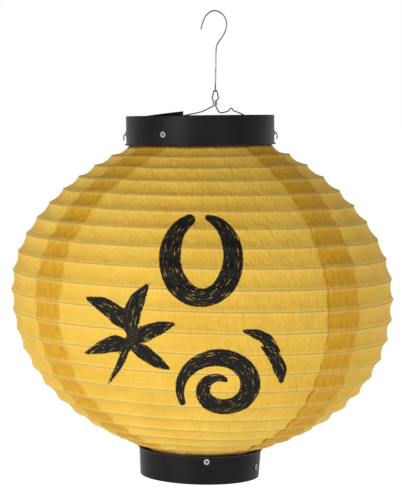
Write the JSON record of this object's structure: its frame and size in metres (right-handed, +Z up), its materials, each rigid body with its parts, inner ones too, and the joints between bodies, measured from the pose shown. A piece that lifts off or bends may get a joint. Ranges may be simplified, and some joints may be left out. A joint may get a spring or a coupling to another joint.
{
  "type": "folding cloth lantern",
  "caption": "Round folding lantern: lapped cloth gores over wire hoops between two plastic collars, hung by a wire bail and hook; pushing the lower collar up folds it flat.",
  "frame": {"origin": "the point under the hook's crown that rests on what it hangs from", "axes": "+Z up, -Y the painted front, +X to the right seen from the front"},
  "size_m": [0.4485, 0.4486, 0.5486],
  "materials": {
    "black_plastic": "satin black plastic strip, a soft sheen",
    "yellow_cloth": "thin translucent woven cloth, lightly wrinkled at its glued laps",
    "black_wire": "black coated wire",
    "bright_wire": "bright plated wire",
    "grey_metal": "dull grey crimped metal",
    "hoop_steel": "wire with an olive brown coating"
  },
  "bodies": {
    "hook": {"hook_wire": "bright_wire"},
    "bail": {"bail_wire": "black_wire", "crimp_ferrule": "grey_metal"},
    "top_collar": {"top_collar_band": "black_plastic", "top_rim_wire": "black_wire", "top_eyelet_left": "grey_metal", "top_eyelet_right": "grey_metal", "top_eyelet_front": "grey_metal", "top_eyelet_lap": "grey_metal", "right_gore": "yellow_cloth", "back_gore": "yellow_cloth", "left_gore": "yellow_cloth", "front_gore": "yellow_cloth"},
    "bottom_collar": {"bottom_collar_band": "black_plastic", "bottom_rim_wire": "black_wire", "bottom_eyelet_front": "grey_metal", "bottom_eyelet_right": "grey_metal"},
    "hoop_01": {"hoop_01": "hoop_steel"},
    "hoop_02": {"hoop_02": "hoop_steel"},
    "hoop_03": {"hoop_03": "hoop_steel"},
    "hoop_04": {"hoop_04": "hoop_steel"},
    "hoop_05": {"hoop_05": "hoop_steel"},
    "hoop_06": {"hoop_06": "hoop_steel"},
    "hoop_07": {"hoop_07": "hoop_steel"},
    "hoop_08": {"hoop_08": "hoop_steel"},
    "hoop_09": {"hoop_09": "hoop_steel"},
    "hoop_10": {"hoop_10": "hoop_steel"},
    "hoop_11": {"hoop_11": "hoop_steel"},
    "hoop_12": {"hoop_12": "hoop_steel"},
    "hoop_13": {"hoop_13": "hoop_steel"},
    "hoop_14": {"hoop_14": "hoop_steel"},
    "hoop_15": {"hoop_15": "hoop_steel"},
    "hoop_16": {"hoop_16": "hoop_steel"},
    "hoop_17": {"hoop_17": "hoop_steel"},
    "hoop_18": {"hoop_18": "hoop_steel"},
    "hoop_19": {"hoop_19": "hoop_steel"},
    "hoop_20": {"hoop_20": "hoop_steel"}
  },
  "joints": [
    {"name": "hook_swing", "type": "hinge", "parent": "hook", "child": "bail", "pos_m": [0.0013, 0, -0.09355], "axis": [0, 1, 0], "range_deg": [-40, 40]},
    {"name": "bail_swing", "type": "hinge", "parent": "bail", "child": "top_collar", "pos_m": [-0.0162, 0, -0.142], "axis": [0.9999, 0, 0.0105], "range_deg": [-70, 70]},
    {"name": "collapse", "type": "slide", "parent": "top_collar", "child": "bottom_collar", "axis": [0, 0, 1], "range_m": [0, 0.3065], "deforming": ["right_gore", "back_gore", "left_gore", "front_gore"]},
    {"name": "hoop_01_slide", "type": "slide", "parent": "top_collar", "child": "hoop_01", "axis": [0, 0, 1], "range_m": [0, 0.01131]},
    {"name": "hoop_02_slide", "type": "slide", "parent": "top_collar", "child": "hoop_02", "axis": [0, 0, 1], "range_m": [0, 0.02159]},
    {"name": "hoop_03_slide", "type": "slide", "parent": "top_collar", "child": "hoop_03", "axis": [0, 0, 1], "range_m": [0, 0.03317]},
    {"name": "hoop_04_slide", "type": "slide", "parent": "top_collar", "child": "hoop_04", "axis": [0, 0, 1], "range_m": [0, 0.046]},
    {"name": "hoop_05_slide", "type": "slide", "parent": "top_collar", "child": "hoop_05", "axis": [0, 0, 1], "range_m": [0, 0.06011]},
    {"name": "hoop_06_slide", "type": "slide", "parent": "top_collar", "child": "hoop_06", "axis": [0, 0, 1], "range_m": [0, 0.07555]},
    {"name": "hoop_07_slide", "type": "slide", "parent": "top_collar", "child": "hoop_07", "axis": [0, 0, 1], "range_m": [0, 0.09234]},
    {"name": "hoop_08_slide", "type": "slide", "parent": "top_collar", "child": "hoop_08", "axis": [0, 0, 1], "range_m": [0, 0.11042]},
    {"name": "hoop_09_slide", "type": "slide", "parent": "top_collar", "child": "hoop_09", "axis": [0, 0, 1], "range_m": [0, 0.1296]},
    {"name": "hoop_10_slide", "type": "slide", "parent": "top_collar", "child": "hoop_10", "axis": [0, 0, 1], "range_m": [0, 0.14943]},
    {"name": "hoop_11_slide", "type": "slide", "parent": "top_collar", "child": "hoop_11", "axis": [0, 0, 1], "range_m": [0, 0.16937]},
    {"name": "hoop_12_slide", "type": "slide", "parent": "top_collar", "child": "hoop_12", "axis": [0, 0, 1], "range_m": [0, 0.189]},
    {"name": "hoop_13_slide", "type": "slide", "parent": "top_collar", "child": "hoop_13", "axis": [0, 0, 1], "range_m": [0, 0.20791]},
    {"name": "hoop_14_slide", "type": "slide", "parent": "top_collar", "child": "hoop_14", "axis": [0, 0, 1], "range_m": [0, 0.22568]},
    {"name": "hoop_15_slide", "type": "slide", "parent": "top_collar", "child": "hoop_15", "axis": [0, 0, 1], "range_m": [0, 0.24194]},
    {"name": "hoop_16_slide", "type": "slide", "parent": "top_collar", "child": "hoop_16", "axis": [0, 0, 1], "range_m": [0, 0.25647]},
    {"name": "hoop_17_slide", "type": "slide", "parent": "top_collar", "child": "hoop_17", "axis": [0, 0, 1], "range_m": [0, 0.26919]},
    {"name": "hoop_18_slide", "type": "slide", "parent": "top_collar", "child": "hoop_18", "axis": [0, 0, 1], "range_m": [0, 0.28017]},
    {"name": "hoop_19_slide", "type": "slide", "parent": "top_collar", "child": "hoop_19", "axis": [0, 0, 1], "range_m": [0, 0.28955]},
    {"name": "hoop_20_slide", "type": "slide", "parent": "top_collar", "child": "hoop_20", "axis": [0, 0, 1], "range_m": [0, 0.2975]}
  ],
  "couplings": [
    {"joint": "hoop_01_slide", "follows": "collapse", "ratio": 0.036881},
    {"joint": "hoop_02_slide", "follows": "collapse", "ratio": 0.070424},
    {"joint": "hoop_03_slide", "follows": "collapse", "ratio": 0.10818},
    {"joint": "hoop_04_slide", "follows": "collapse", "ratio": 0.15005},
    {"joint": "hoop_05_slide", "follows": "collapse", "ratio": 0.19609},
    {"joint": "hoop_06_slide", "follows": "collapse", "ratio": 0.24646},
    {"joint": "hoop_07_slide", "follows": "collapse", "ratio": 0.30122},
    {"joint": "hoop_08_slide", "follows": "collapse", "ratio": 0.36024},
    {"joint": "hoop_09_slide", "follows": "collapse", "ratio": 0.42279},
    {"joint": "hoop_10_slide", "follows": "collapse", "ratio": 0.48751},
    {"joint": "hoop_11_slide", "follows": "collapse", "ratio": 0.55255},
    {"joint": "hoop_12_slide", "follows": "collapse", "ratio": 0.61659},
    {"joint": "hoop_13_slide", "follows": "collapse", "ratio": 0.67829},
    {"joint": "hoop_14_slide", "follows": "collapse", "ratio": 0.73627},
    {"joint": "hoop_15_slide", "follows": "collapse", "ratio": 0.78934},
    {"joint": "hoop_16_slide", "follows": "collapse", "ratio": 0.83673},
    {"joint": "hoop_17_slide", "follows": "collapse", "ratio": 0.87823},
    {"joint": "hoop_18_slide", "follows": "collapse", "ratio": 0.91405},
    {"joint": "hoop_19_slide", "follows": "collapse", "ratio": 0.94464},
    {"joint": "hoop_20_slide", "follows": "collapse", "ratio": 0.97058}
  ]
}
